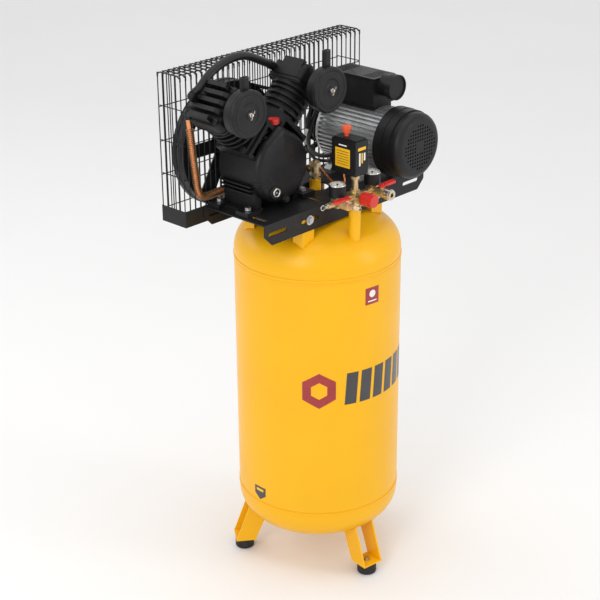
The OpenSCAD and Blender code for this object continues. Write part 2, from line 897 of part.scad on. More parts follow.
module oil_fittings() {
    color("silver") at_crank() {
        translate([-32, 0, -68]) difference() {
            rod_y(11, -58, -53);
            rod_y(7, -59, -55);
        }
        translate([-32, 0, -68]) rod_y(8.8, -53, -44.5);
        translate([0, 0, -88]) rod_y(8, -60, -54, $fn = 6);
        translate([0, 0, -88]) rod_y(3.9, -55, -44.5);
    }
}

module crankshaft() {
    color("gray") {
        at_crank() {
            rod_y(24.5 - run_gap, 62, 100);
            rod_y(20, 99, 122);
            rod_y(15, 121, belt_y + 17);
            slab_y(50, 62) {
                circle(30);
                translate([0, -24]) circle(34);
                translate([-18, 0]) square([36, crank_r + 14]);
            }
            translate([0, 0, crank_r]) rod_y(11, 46.5, 51);
        }
    }
}

module flywheel() {
    color([0.1, 0.1, 0.11]) at_crank() difference() {
        union() {
            ring_y(wheel_r, wheel_r - 22, belt_y - 19, belt_y + 19);
            rod_y(30, belt_y - 17, belt_y + 17);
            for (a = [0:60:300]) rotate([0, a, 0]) translate([24, belt_y, 0])
                rotate([32, 0, 0]) translate([0, -4, -15]) cube([wheel_r - 36, 8, 30]);
        }
        ring_y(wheel_r + 1, wheel_r - 9.5, belt_y - belt_w / 2 - 0.6, belt_y + belt_w / 2 + 0.6);
        rod_y(15, belt_y - 30, belt_y + 30);
    }
    color("silver") at_crank() {
        rod_y(18, belt_y + 17, belt_y + 21);
        rod_y(9, belt_y + 20.5, belt_y + 28, $fn = 6);
    }
}

// Piston with its pin and rod, in the bank frame; the rod leans to reach the crank pin
module piston_set(side) {
    off = crank_r * sin(bank_angle);
    pin_n = crank_r * cos(bank_angle) + sqrt(rod_l * rod_l - off * off);
    lean = asin(off / rod_l);
    color("silver") difference() {
        rod_z(bore_r - face_gap, pin_n - 16, pin_n + 45);
        rod_z(bore_r - 5, pin_n - 17, pin_n + 38);
        for (k = [0:2]) translate([0, 0, pin_n + 24 + 6 * k]) difference() {
            rod_z(bore_r + 1, 0, 2);
            rod_z(bore_r - 3, -1, 3);
        }
    }
    color("dimgray") for (k = [0:2]) translate([0, 0, pin_n + 24 + 6 * k]) difference() {
        rod_z(bore_r - face_gap, 0, 2);
        rod_z(bore_r - 3, -1, 3);
    }
    color("gray") translate([0, 0, pin_n]) rod_y(7, 3 - bore_r, bore_r - 3);
    color("gray") translate([0, 0, pin_n]) rotate([0, lean, 0]) {
        difference() {
            union() {
                rod_y(11, -6.5, 6.5);
                translate([0, 0, -rod_l]) rod_y(18, -6.5, 6.5);
                translate([-7, -4, -rod_l + 15]) cube([14, 8, rod_l - 24]);
            }
            rod_y(7, -8, 8);
            translate([0, 0, -rod_l]) rod_y(11 + face_gap, -8, 8);
        }
    }
}

module piston_left() {
    bank(-1) piston_set(-1);
}

module piston_right() {
    bank(1) piston_set(1);
}

// ---- motor -------------------------------------------------------------------------

module at_motor() {
    translate([motor_x, 0, motor_z]) children();
}

// Star outline with n square fins between radii r0 and r1
function fin_points(n, r0, r1) = [
    for (i = [0:n - 1], k = [0:3])
    let (a = 360 / n * (i + [0, 0.06, 0.44, 0.5][k]), r = (k == 1 || k == 2) ? r1 : r0)
    [r * cos(a), r * sin(a)]
];

module motor_frame() {
    color([0.72, 0.73, 0.74]) difference() {
        union() {
            at_motor() slab_y(motor_y0, motor_y1) polygon(fin_points(44, 70, motor_d / 2));
            for (y = [-46, 46]) at_motor() difference() {
                slab_y(y - 10, y + 10)
                    polygon([[-88, -90], [88, -90], [88, -80], [52, -40], [-52, -40], [-88, -80]]);
                rod_y(66, y - 11, y + 11);
                translate([0, 0, -96]) rod_y(40, y - 11, y + 11);
                for (x = [-70, 70]) translate([x, y, -110]) cylinder(r = 4.6, h = 60);
                for (x = [-70, 70]) translate([x, y, -82]) cylinder(r = 9.5, h = 40);
            }
        }
        at_motor() rod_y(66, motor_y0 - 1, motor_y1 + 1);
    }
}

module motor_stator() {
    color("peru") at_motor() {
        ring_y(65.9, 45.6, -52, 52);
        ring_y(60, 48, -74, -52);
        ring_y(60, 48, 52, 74);
    }
}

module motor_shields() {
    color([0.5, 0.5, 0.52]) at_motor() {
        difference() {
            union() {
                rod_y(76, motor_y1, 95);
                rod_y(68, 94, 99);
                rod_y(30, 98, 106);
            }
            rod_y(66, motor_y1 - 1, 93);
            rod_y(23, 89, 103);
            rod_y(shaft_r + 1, 80, 110);
        }
        difference() {
            union() {
                rod_y(74, -108, motor_y0);
                rod_y(cowl_r - 2.5, -104, -98);
            }
            rod_y(66, -99, motor_y0 + 1);
            rod_y(23, -107.01, motor_y0 + 1);
            rod_y(shaft_r + 1, -110, -90);
        }
    }
}

module cowl_solid(cut) {
    rotate([90, 0, 0]) rotate_extrude($fn = 96) {
        square([cowl_r - cut, 138 - cut]);
        translate([0, 130]) square([cowl_r - 3 - cut, 18]);
        square([cowl_r - 22, 168 - cut]);
        translate([cowl_r - 23, 148]) circle(20 - cut);
    }
}

module fan_cover() {
    pitch = 8.6;
    color([0.12, 0.12, 0.13]) at_motor() difference() {
        cowl_solid(0);
        rod_y(cowl_r + 5, -92, 5);
        difference() {
            cowl_solid(2.5);
            rod_y(cowl_r + 5, -60, 5);
        }
        slab_y(cowl_y - 2, cowl_y + 5) for (i = [-6:6], j = [-6:6])
            if (norm([i, j]) * pitch < 54 && norm([i, j]) > 1.5)
                translate([i * pitch, j * pitch]) square(4.6, center = true);
    }
    color([0.12, 0.12, 0.13]) at_motor() ring_y(cowl_r + 1.2, cowl_r - 1, -116, -92);
}

module terminal_box() {
    color([0.16, 0.16, 0.17]) difference() {
        union() {
            translate([box_x - box_w / 2, box_y0, box_z0])
                cube([box_w, box_y1 - box_y0, box_z1 - box_z0 - 6]);
            translate([box_x - box_w / 2 + 4, box_y0 + 2, box_z0])
                cube([box_w - 8, box_y1 - box_y0 - 4, box_z1 - box_z0]);
            translate([motor_x - 30, -52, motor_z + 70]) cube([60, 120, 20]);
        }
        translate([box_x - box_w / 2 + 3, box_y0 + 3, box_z0 + 3])
            cube([box_w - 6, box_y1 - box_y0 - 6, box_z1 - box_z0 - 12]);
        for (y = [box_y0 + 12, box_y1 - 40], k = [0:4])
            translate([box_x - 30, y + 7 * k, box_z1 - 3]) cube([60, 3, 5]);
        at_motor() rod_y(motor_d / 2, -60, 80);
    }
    color([0.1, 0.1, 0.1]) translate([box_x, 0, cup_z]) difference() {
        union() {
            rod_y(26, -92, box_y0 + 1);
            rod_y(30, -97, -80);
        }
        rod_y(27, -98, -94);
        rod_y(22, -90, box_y0 - 1);
    }
    color("gainsboro") translate([box_x, 0, cup_z]) rod_y(20, -88, box_y0 + 2);
}

cable_route = [
    [129.9, 70, 1160], [127, 70, 1160], [124, 70.2, 1159.6], [112, 79, 1146], [88, 90, 1104], [66, 86, 1066],
    [42, 66, 1048], [18, 34, 1045], [-4, -10, 1049], [-18, -54, 1062], [-24, -84, 1074],
    [-24, -97.9, 1076]
];

module motor_cable() {
    color([0.07, 0.07, 0.07]) {
        routed(cable_route, 5, [0.2, 0.3, 1], 5, 12);
        translate([-24, 0, 1076]) rod_y(8.5, -98, -88, $fn = 6);
        translate([-46, 0, 1076]) rod_y(8.5, -98, -88, $fn = 6);
    }
}

// Wedge between the two tangent points, seen from the flywheel
module belt_wedge(r) {
    slab_y(belt_y - belt_w, belt_y + belt_w) rotate(belt_lie) polygon([
        [0, 0], [2 * r * cos(belt_turn), 2 * r * sin(belt_turn)], [2 * r, 2 * r * sin(belt_turn)],
        [2 * r, -2 * r * sin(belt_turn)], [2 * r * cos(belt_turn), -2 * r * sin(belt_turn)]
    ]);
}

module belt_ring(r) {
    ring_y(r, r - belt_t, belt_y - belt_w / 2, belt_y + belt_w / 2);
}

// The straight run on one side, from the flywheel to the pulley
module belt_run(side) {
    slab_y(belt_y - belt_w / 2, belt_y + belt_w / 2) rotate(belt_lie + side * belt_turn)
        translate([belt_ra - belt_t + 0.15, side > 0 ? -belt_span - 1 : -1])
        square([belt_t - 0.3, belt_span + 2]);
}

module v_belt() {
    color([0.07, 0.07, 0.07]) {
        at_crank() difference() {
            belt_ring(belt_ra);
            belt_wedge(belt_ra);
        }
        at_motor() intersection() {
            belt_ring(belt_rb);
            belt_wedge(belt_rb);
        }
        at_crank() {
            belt_run(1);
            belt_run(-1);
        }
    }
}

module motor_rotor() {
    color("gray") at_motor() {
        rod_y(shaft_r, -150, 160);
        ring_y(45, shaft_r - 0.5, -50, 50);
        ring_y(38, shaft_r - 0.5, -58, -50);
        ring_y(38, shaft_r - 0.5, 50, 58);
    }
}

module motor_pulley() {
    color([0.15, 0.15, 0.16]) at_motor() difference() {
        union() {
            rod_y(pulley_r, belt_y - 11, belt_y + 11);
            rod_y(22, belt_y - 24, belt_y + 14);
        }
        ring_y(pulley_r + 1, pulley_r - 9.5, belt_y - belt_w / 2 - 0.6, belt_y + belt_w / 2 + 0.6);
        rod_y(shaft_r, belt_y - 30, belt_y + 30);
    }
}

module motor_fan() {
    color([0.2, 0.2, 0.2]) at_motor() difference() {
        union() {
            rod_y(20, -148, -122);
            rod_y(58, -126, -122);
            for (a = [0:45:315]) rotate([0, a, 0])
                translate([16, -146, -1.5]) cube([46, 24, 3]);
        }
        rod_y(shaft_r, -160, -110);
    }
}

// ---- pressure switch, manifold and outlets ------------------------------------------

module switch_base() {
    color([0.12, 0.12, 0.13]) difference() {
        translate([switch_x0, switch_y0, switch_z0])
            cube([switch_x1 - switch_x0, switch_y1 - switch_y0, 10]);
        translate([riser_x, riser_y, 0]) rod_z(8, switch_z0 - 1, switch_z0 + 6);
    }
    color("gray") {
        translate([-36, -134, 0]) rod_z(9, switch_z0 + 10, switch_z0 + 46);
        translate([-46, -150, switch_z0 + 10]) cube([20, 34, 22]);
    }
}

module switch_cover() {
    z0 = switch_z0 + 10;
    color([0.1, 0.1, 0.1]) difference() {
        union() {
            translate([switch_x0, switch_y0, z0])
                cube([switch_x1 - switch_x0, switch_y1 - switch_y0, switch_z1 - z0 - 3]);
            translate([switch_x0 + 3, switch_y0 + 3, z0])
                cube([switch_x1 - switch_x0 - 6, switch_y1 - switch_y0 - 6, switch_z1 - z0]);
        }
        translate([switch_x0 + 2.5, switch_y0 + 2.5, z0 - 1]) cube([
            switch_x1 - switch_x0 - 5, switch_y1 - switch_y0 - 5, switch_z1 - z0 - 5
        ]);
        translate([riser_x, -124, 0]) rod_z(5.5, z0, switch_z1 + 1);
    }
}

module switch_knob() {
    color("orangered") translate([riser_x, -124, 0]) {
        rod_z(5, switch_z1 - 8, switch_z1 + 11);
        rod_z(8, switch_z1 + 8, switch_z1 + 17);
        rod_z(11, switch_z1 + 16, switch_z1 + 23);
    }
}

module manifold() {
    color([0.72, 0.6, 0.42]) translate([riser_x, riser_y, 0]) {
        rod_z(9.9, 950, 962);
        rod_z(14, 961, 968, $fn = 6);
        rod_z(10, 967, 978);
        translate([-15, -12, 976]) cube([30, 24, 26]);
        rod_z(11, 1001, 1008, $fn = 6);
        rod_z(7.5, 1007, switch_z0 + 5);
        rod_z(10, 1032, 1040, $fn = 6);
        translate([0, 0, manifold_z]) {
            rod_x(7, -outlet_dx, outlet_dx);
            for (s = [-1, 1]) translate([s * outlet_dx, 0, 0]) {
                translate([-10, -10, -10]) cube(20);
                rod_z(5, 9, gauge_z - manifold_z);
                rod_z(8, 11, gauge_z - manifold_z, $fn = 6);
                rod_y(7, -13, 0);
            }
            rod_y(15, -24, -11);
            rod_y(17, -26.5, -23, $fn = 48);
        }
    }
}

module gauge_cases() {
    color([0.1, 0.1, 0.1]) for (s = [-1, 1])
        translate([riser_x + s * outlet_dx, riser_y, 0]) difference() {
            rod_z(gauge_r, gauge_z, gauge_z + gauge_h);
            rod_z(gauge_r - 2, gauge_z + gauge_h - 6, gauge_z + gauge_h + 1);
        }
    color("white") for (s = [-1, 1])
        translate([riser_x + s * outlet_dx, riser_y, gauge_z + gauge_h - 6.01])
            cylinder(r = gauge_r - 2, h = 0.8);
    color("white", 0.3) for (s = [-1, 1])
        translate([riser_x + s * outlet_dx, riser_y, gauge_z + gauge_h - 1.6])
            cylinder(r = gauge_r - 2, h = 1.2);
}

module needle(side) {
    color("black") translate([riser_x + side * outlet_dx, riser_y, gauge_z + gauge_h - 4.6]) {
        cylinder(r = 2.4, h = 1.6);
        rotate([0, 0, 220]) translate([-4, -0.6, 0.2]) cube([17, 1.2, 0.8]);
    }
}

module needle_left() {
    needle(-1);
}

module needle_right() {
    needle(1);
}

module outlet_valves() {
    color([0.76, 0.63, 0.36]) for (s = [-1, 1])
        translate([riser_x + s * outlet_dx, riser_y, manifold_z]) {
            rod_y(10.5, -22, -13, $fn = 6);
            rod_y(9.5, -26, -21);
            rod_y(11, valve_end - riser_y, -25, $fn = 6);
            translate([0, -30, 0]) rod_z(5, 0, 14);
        }
    color([0.76, 0.63, 0.36]) translate([riser_x - outlet_dx, riser_y, manifold_z]) {
        difference() {
            union() {
                rod_y(7.5, -52, -35);
                for (k = [0:3]) translate([0, -68 + 5 * k, 0]) rotate([-90, 0, 0])
                    cylinder(r1 = 4.6, r2 = 5.8, h = 5);
            }
            rod_y(3, -70, -40);
        }
    }
    color([0.8, 0.76, 0.7]) translate([riser_x + outlet_dx, riser_y, manifold_z]) {
        difference() {
            union() {
                rod_y(9, -44, -35);
                rod_y(8, -60, -43);
            }
            rod_y(5.2, -61, -42);
        }
    }
}

module lever(turn) {
    color("crimson") rotate([0, 0, turn]) {
        rod_z(8, 14.3, 18);
        translate([0, -4.5, 14.3]) cube([14, 9, 3.7]);
        slab_z(14.3, 20) translate([26, 0]) slot(36, 13);
    }
    color("silver") rod_z(4, 17.5, 21.5, $fn = 6);
}

module lever_left() {
    translate([riser_x - outlet_dx, riser_y - 30, manifold_z]) lever(180);
}

module lever_right() {
    translate([riser_x + outlet_dx, riser_y - 30, manifold_z]) lever(0);
}

module regulator_knob() {
    color("crimson") translate([riser_x, 0, manifold_z]) difference() {
        union() {
            rod_y(16, -202, -177);
            rod_y(14, -209, -201);
            rod_y(8, -178, -176.8);
        }
        for (a = [0:30:330]) rotate([0, a, 0]) translate([17.4, 0, 0])
            rod_y(2.2, -210, -180, $fn = 16);
    }
}

module coupler_sleeve() {
    color("silver") translate([riser_x + outlet_dx, riser_y, manifold_z]) {
        ring_y(13, 9.3, -56, -44.5);
        ring_y(11.5, 8.3, -60, -55.5);
    }
}

// Spring-loaded relief valve on the far left of the manifold, pointing left
module safety_valve() {
    color([0.76, 0.63, 0.36]) translate([riser_x - outlet_dx - 10, riser_y, manifold_z]) {
        rod_x(5, -6, 0);
        rotate([0, -90, 0]) rod_z(8, 4, 11, $fn = 6);
        rod_x(6.5, -24, -10);
        difference() {
            rod_x(3, -28, -23);
        }
    }
}

module safety_ring() {
    color("silver") translate([riser_x - outlet_dx - 10, riser_y, manifold_z]) {
        difference() {
            rod_x(4.5, -34, -24.3);
            rod_x(3.3, -28.5, -24);
        }
        translate([-38.5, 0, 0]) difference() {
            rod_y(6.5, -0.9, 0.9);
            rod_y(4.9, -2, 2);
        }
    }
}

module tank_drain() {
    color([0.76, 0.63, 0.36]) translate([0, 0, low_z - head_h]) {
        rod_z(6.9, -10, 12);
        rod_z(11, -14, -3, $fn = 6);
        translate([0, 0, -20]) rod_z(7, 0, 8);
        translate([0, 0, -24]) rod_z(4, 0, 6);
    }
}

placed() tank_shell();
placed() tank_heads();
placed() legs();
placed() rubber_feet();
placed() bed_brackets();
placed() tank_risers();
placed() bed_plate();
placed() frame_bolts();
placed() guard_strip();
placed() guard_front();
placed() guard_back();
placed() guard_top();
placed() guard_ends();
placed() crankcase();
placed() crankcase_cover();
placed() ball_bearings();
placed() cylinders();
placed() valve_plates();
placed() cylinder_heads();
placed() pump_bolts();
placed() filter_housings();
placed() filter_covers();
placed() filter_elements();
placed() filter_wing_nuts();
placed() crossover_hose();
placed() hose_fittings();
placed() discharge_tube();
placed() check_valve();
placed() unloader_tube();
placed() oil_cap();
placed() oil_fittings();
placed() motor_frame();
placed() motor_stator();
placed() motor_shields();
placed() fan_cover();
placed() terminal_box();
placed() motor_cable();
placed() v_belt();
placed() switch_base();
placed() switch_cover();
placed() manifold();
placed() gauge_cases();
placed() outlet_valves();
placed() safety_valve();
placed() tank_drain();
placed() crankshaft();
placed() flywheel();
placed() motor_rotor();
placed() motor_pulley();
placed() motor_fan();
placed() piston_left();
placed() piston_right();
placed() switch_knob();
placed() regulator_knob();
placed() lever_left();
placed() lever_right();
placed() needle_left();
placed() needle_right();
placed() safety_ring();
placed() coupler_sleeve();
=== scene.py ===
import json
import math
import bmesh
import bpy
from mathutils import Matrix, Vector


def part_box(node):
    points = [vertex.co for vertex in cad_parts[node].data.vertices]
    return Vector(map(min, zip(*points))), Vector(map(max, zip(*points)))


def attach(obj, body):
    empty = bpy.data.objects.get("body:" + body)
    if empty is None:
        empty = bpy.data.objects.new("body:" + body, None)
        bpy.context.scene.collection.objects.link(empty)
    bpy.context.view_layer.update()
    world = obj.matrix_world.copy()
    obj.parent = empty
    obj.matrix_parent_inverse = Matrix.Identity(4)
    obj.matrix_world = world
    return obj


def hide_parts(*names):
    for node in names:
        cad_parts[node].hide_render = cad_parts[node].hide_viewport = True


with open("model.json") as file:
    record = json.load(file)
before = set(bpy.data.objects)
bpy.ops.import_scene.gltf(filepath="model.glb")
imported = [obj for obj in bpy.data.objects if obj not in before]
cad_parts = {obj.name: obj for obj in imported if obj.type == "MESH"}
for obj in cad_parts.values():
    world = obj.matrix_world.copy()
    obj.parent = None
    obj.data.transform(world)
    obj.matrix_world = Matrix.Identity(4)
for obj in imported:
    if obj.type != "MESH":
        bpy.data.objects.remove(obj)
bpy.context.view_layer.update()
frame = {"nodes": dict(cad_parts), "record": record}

SHELL_LO, SHELL_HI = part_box("tank_shell")
TX, TY = (SHELL_LO[0] + SHELL_HI[0]) / 2, (SHELL_LO[1] + SHELL_HI[1]) / 2     # tank axis


def V(x, y, z):
    """A point given in millimetres from the tank axis at floor level, as a point of the row frame."""
    return Vector((x / 1000 + TX, y / 1000 + TY, z / 1000))


# ---------------------------------------------------------------- camera and light

EYE, AIM = V(-2440, -2275, 2141.5), V(-61.9, 0, 697.6)
LENS_MM, SENSOR_MM, ROLL_DEG, FAR_M = 90.0, 36.0, -0.477, 40


def make_camera():
    cam_data = bpy.data.cameras.new("view")
    cam_data.lens = LENS_MM
    cam_data.sensor_width = SENSOR_MM
    cam_data.clip_end = FAR_M
    cam = bpy.data.objects.new("view", cam_data)
    bpy.context.scene.collection.objects.link(cam)
    look = (AIM - EYE).to_track_quat("-Z", "Y")
    roll = Matrix.Rotation(math.radians(ROLL_DEG), 3, "Z").to_quaternion()
    cam.rotation_mode = "QUATERNION"
    cam.rotation_quaternion = look @ roll
    cam.location = EYE
    bpy.context.scene.camera = cam


make_camera()


def area_light(name, where, aim, size, power):
    """Soft rectangular lamp; places and sizes in metres, power in watts."""
    data = bpy.data.lights.new(name, "AREA")
    data.shape = "RECTANGLE"
    data.size, data.size_y = size
    data.energy = power
    lamp = bpy.data.objects.new(name, data)
    bpy.context.scene.collection.objects.link(lamp)
    lamp.location = Vector(where)
    lamp.rotation_mode = "QUATERNION"
    lamp.rotation_quaternion = (Vector(aim) - Vector(where)).to_track_quat("-Z", "Y")


area_light("key", (-3.2, -1.0, 2.6), (0, 0, 0.8), (1.4, 2.4), 40)
area_light("side", (1.6, -3.4, 1.9), (0, 0, 0.8), (1.0, 2.6), 24)
area_light("back", (-1.2, 3.2, 2.6), (0, 0, 0.9), (2.4, 1.6), 22)
area_light("top", (0.2, -0.3, 4.0), (0, 0, 0.8), (2.2, 2.2), 18)

world = bpy.data.worlds.new("studio")
bpy.context.scene.world = world
world.use_nodes = True
sky = world.node_tree.nodes["Background"]
sky.inputs["Color"].default_value = (1, 1, 1, 1)
sky.inputs["Strength"].default_value = 0.86

bpy.context.scene.view_settings.view_transform = "Standard"


# ---------------------------------------------------------------- materials

class Nodes:
    """Short hand for building one material's node tree."""

    def __init__(self, name):
        self.mat = bpy.data.materials.new(name)
        self.mat.use_nodes = True
        self.tree = self.mat.node_tree
        self.bsdf = self.tree.nodes["Principled BSDF"]
        self.coord = self.tree.nodes.new("ShaderNodeTexCoord")

    def link(self, a, b):
        self.tree.links.new(a, b)

    def noise(self, scale, detail=4.0, rough=0.5):
        n = self.tree.nodes.new("ShaderNodeTexNoise")
        n.inputs["Scale"].default_value = scale
        n.inputs["Detail"].default_value = detail
        n.inputs["Roughness"].default_value = rough
        self.link(self.coord.outputs["Object"], n.inputs["Vector"])
        return n.outputs["Fac"]

    def ramp(self, fac, stops):
        r = self.tree.nodes.new("ShaderNodeValToRGB")
        e = r.color_ramp.elements
        while len(e) < len(stops):
            e.new(0.5)
        for el, (p, c) in zip(e, stops):
            el.position = p
            el.color = (*c, 1)
        self.link(fac, r.inputs["Fac"])
        return r.outputs["Color"]

    def bump(self, height, distance, under=None):
        b = self.tree.nodes.new("ShaderNodeBump")
        b.inputs["Strength"].default_value = 1.0
        b.inputs["Distance"].default_value = distance
        self.link(height, b.inputs["Height"])
        if under is not None:
            self.link(under, b.inputs["Normal"])
        return b.outputs["Normal"]


M = {}


def finish_mat(name, base, dark, light, rough=(0.35, 0.5), metal=0.0, tone_scale=14.0,
               bumps=(), coat=0.0, spec=0.5):
    """A finish with drifting tone and roughness; bumps are (scale, height in metres, detail)."""
    n = Nodes(name)
    tone = n.noise(tone_scale, 6.0, 0.6)
    n.link(n.ramp(tone, [(0.25, dark), (0.5, base), (0.75, light)]), n.bsdf.inputs["Base Color"])
    grain = n.noise(tone_scale * 3.1, 5.0, 0.6)
    r = n.ramp(grain, [(0.3, (rough[0],) * 3), (0.7, (rough[1],) * 3)])
    n.link(r, n.bsdf.inputs["Roughness"])
    n.bsdf.inputs["Metallic"].default_value = metal
    n.bsdf.inputs["Specular IOR Level"].default_value = spec
    n.bsdf.inputs["Coat Weight"].default_value = coat
    n.bsdf.inputs["Coat Roughness"].default_value = 0.1
    normal = None
    for scale, height, detail in bumps:
        normal = n.bump(n.noise(scale, detail), height, normal)
    if normal is not None:
        n.link(normal, n.bsdf.inputs["Normal"])
    M[name] = n.mat
    return n.mat


finish_mat("tank_yellow", (0.87, 0.445, 0.004), (0.84, 0.425, 0.004), (0.90, 0.465, 0.005),
           (0.28, 0.36), tone_scale=5, bumps=((260, 0.00010, 2.0), (35, 0.0002, 1.0)), spec=0.3)
finish_mat("black_steel", (0.010, 0.010, 0.011), (0.007, 0.007, 0.008), (0.014, 0.014, 0.015),
           (0.36, 0.52), tone_scale=20, bumps=((900, 0.00008, 2.0),), spec=0.28)
finish_mat("bolt_steel", (0.56, 0.56, 0.57), (0.40, 0.40, 0.40), (0.70, 0.70, 0.70), (0.22, 0.42),
           metal=1.0, tone_scale=90, bumps=((1500, 0.00004, 2.0),))
finish_mat("black_wire", (0.012, 0.012, 0.013), (0.008, 0.008, 0.008), (0.02, 0.02, 0.02),
           (0.32, 0.48), tone_scale=40, bumps=((1200, 0.00005, 2.0),), spec=0.35)
finish_mat("cast_black", (0.007, 0.007, 0.008), (0.005, 0.005, 0.006), (0.010, 0.010, 0.011),
           (0.34, 0.50), tone_scale=30, bumps=((420, 0.0002, 4.0), (90, 0.0002, 2.0)), spec=0.26)
finish_mat("rubber", (0.018, 0.018, 0.018), (0.012, 0.012, 0.012), (0.03, 0.03, 0.03),
           (0.55, 0.75), tone_scale=40, bumps=((700, 0.0001, 3.0),), spec=0.35)
finish_mat("bright_steel", (0.50, 0.50, 0.51), (0.36, 0.36, 0.37), (0.62, 0.62, 0.62), (0.2, 0.36),
           metal=1.0, tone_scale=60, bumps=((1400, 0.00003, 2.0),))
finish_mat("plate_metal", (0.62, 0.62, 0.62), (0.5, 0.5, 0.5), (0.72, 0.72, 0.72), (0.25, 0.42),
           metal=1.0, tone_scale=60, bumps=((1000, 0.00005, 2.0),))
finish_mat("motor_alloy", (0.52, 0.525, 0.53), (0.44, 0.445, 0.45), (0.60, 0.605, 0.61),
           (0.32, 0.46), metal=0.8, tone_scale=40, bumps=((600, 0.00018, 3.0),))
finish_mat("winding", (0.40, 0.20, 0.09), (0.3, 0.15, 0.06), (0.5, 0.27, 0.12), (0.3, 0.5),
           metal=0.6, tone_scale=80, bumps=((300, 0.0004, 2.0),))
finish_mat("black_plastic", (0.008, 0.008, 0.009), (0.006, 0.006, 0.007), (0.011, 0.011, 0.012),
           (0.34, 0.46), tone_scale=25, bumps=((1100, 0.00010, 2.0),), spec=0.28)
finish_mat("paper", (0.62, 0.55, 0.36), (0.5, 0.44, 0.28), (0.7, 0.62, 0.42), (0.7, 0.9),
           tone_scale=60, bumps=((800, 0.0002, 2.0),))
finish_mat("hose_rubber", (0.012, 0.012, 0.012), (0.008, 0.008, 0.008), (0.013, 0.013, 0.013),
           (0.3, 0.45), tone_scale=30, bumps=((1000, 0.00006, 2.0),), spec=0.3)
finish_mat("copper", (0.42, 0.20, 0.11), (0.22, 0.10, 0.06), (0.58, 0.30, 0.17), (0.3, 0.5),
           metal=0.85, tone_scale=60, bumps=((700, 0.0001, 2.0),))
finish_mat("copper_new", (0.80, 0.32, 0.14), (0.72, 0.27, 0.11), (0.86, 0.38, 0.18), (0.2, 0.32),
           metal=1.0, tone_scale=60, bumps=((900, 0.00005, 2.0),))
finish_mat("copper_aged", (0.34, 0.24, 0.13), (0.16, 0.17, 0.10), (0.62, 0.34, 0.18), (0.3, 0.5),
           metal=0.8, tone_scale=45, bumps=((700, 0.0001, 2.0),))
finish_mat("sleeve_white", (0.78, 0.77, 0.74), (0.7, 0.69, 0.66), (0.84, 0.83, 0.8), (0.4, 0.55),
           tone_scale=40, bumps=((900, 0.00006, 2.0),))
finish_mat("brass", (0.72, 0.56, 0.32), (0.62, 0.47, 0.25), (0.80, 0.66, 0.44), (0.3, 0.42),
           metal=1.0, tone_scale=40, bumps=((1300, 0.00001, 2.0),))
finish_mat("nickel", (0.66, 0.64, 0.60), (0.5, 0.48, 0.45), (0.78, 0.76, 0.72), (0.18, 0.3),
           metal=1.0, tone_scale=40, bumps=((1300, 0.00001, 2.0),))
finish_mat("red_plastic", (0.62, 0.022, 0.012), (0.54, 0.016, 0.010), (0.70, 0.032, 0.018),
           (0.28, 0.4), tone_scale=40, bumps=((900, 0.00006, 2.0),), coat=0.2)
finish_mat("orange_plastic", (0.80, 0.085, 0.012), (0.7, 0.07, 0.01), (0.86, 0.11, 0.02),
           (0.3, 0.42), tone_scale=40, bumps=((900, 0.00006, 2.0),), coat=0.2)
finish_mat("cable", (0.011, 0.011, 0.011), (0.008, 0.008, 0.008), (0.012, 0.012, 0.012),
           (0.36, 0.5), tone_scale=40, bumps=((1000, 0.00006, 2.0),), spec=0.3)

SLOTS = {p["node"]: p["material_slot"] for p in frame["record"]["subparts"]}


def paint(obj, mat):
    """Gives every material slot of an object the same finish."""
    if not obj.material_slots:
        obj.data.materials.append(mat)
    for s in obj.material_slots:
        s.material = mat


for node, obj in frame["nodes"].items():
    paint(obj, M[SLOTS[node]])

# ---------------------------------------------------------------- mesh helpers (millimetres)

PUMP_X, CRANK_Z = -160, 1085
RISER_X, RISER_Y, OUTLET_DX = -36, -150, 59
CHECK_X, CHECK_Y = -4, 3
TANK_R, TOP_Z = 200, 824
CROWN_R, KNUCKLE_R = 340, 72
TAU = 2 * math.pi


def dish_h(r):
    """Height of a tank head above its flange at a distance r from the axis."""
    flat_r = TANK_R - KNUCKLE_R
    if r < CROWN_R * flat_r / (CROWN_R - KNUCKLE_R):
        return math.sqrt(CROWN_R ** 2 - r * r) - 236.0
    return math.sqrt(max(KNUCKLE_R ** 2 - (r - flat_r) ** 2, 0))


def at(x, y, z):
    """A shift, in millimetres."""
    return Matrix.Translation((x, y, z))


# turns local Z to face the operator, along -Y
FRONT = Vector((0, -1, 0)).to_track_quat("Z", "Y").to_matrix().to_4x4()


def put(name, bm, mat, place=None, sharp=35, bevel=0.0):
    """Makes a piece of the stand from a mesh in millimetres, placed in the tank's frame."""
    if place is not None:
        bm.transform(place)
    bm.transform(Matrix.Translation((TX, TY, 0)) @ Matrix.Scale(0.001, 4))
    bmesh.ops.recalc_face_normals(bm, faces=bm.faces[:])
    for f in bm.faces:
        f.smooth = True
    for e in bm.edges:
        if len(e.link_faces) == 2 and e.calc_face_angle(0) > math.radians(sharp):
            e.smooth = False
    me = bpy.data.meshes.new(name)
    bm.to_mesh(me)
    bm.free()
    ob = bpy.data.objects.new(name, me)
    bpy.context.scene.collection.objects.link(ob)
    paint(ob, mat)
    if bevel:
        soften(ob, bevel, 30)
    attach(ob, "stand")
    return ob


def soften(ob, width_mm, angle, dissolve=False):
    """Rounds the edges sharper than angle; dissolve first joins flat neighbours into one face."""
    if dissolve:
        d = ob.modifiers.new("dissolve", "DECIMATE")
        d.decimate_type = "DISSOLVE"
        d.angle_limit = math.radians(1.0)
    b = ob.modifiers.new("round", "BEVEL")
    b.width = width_mm / 1000
    b.segments = 2
    b.limit_method = "ANGLE"
    b.angle_limit = math.radians(angle)
    b.use_clamp_overlap = True
    b.harden_normals = False
    w = ob.modifiers.new("normals", "WEIGHTED_NORMAL")
    w.keep_sharp = True


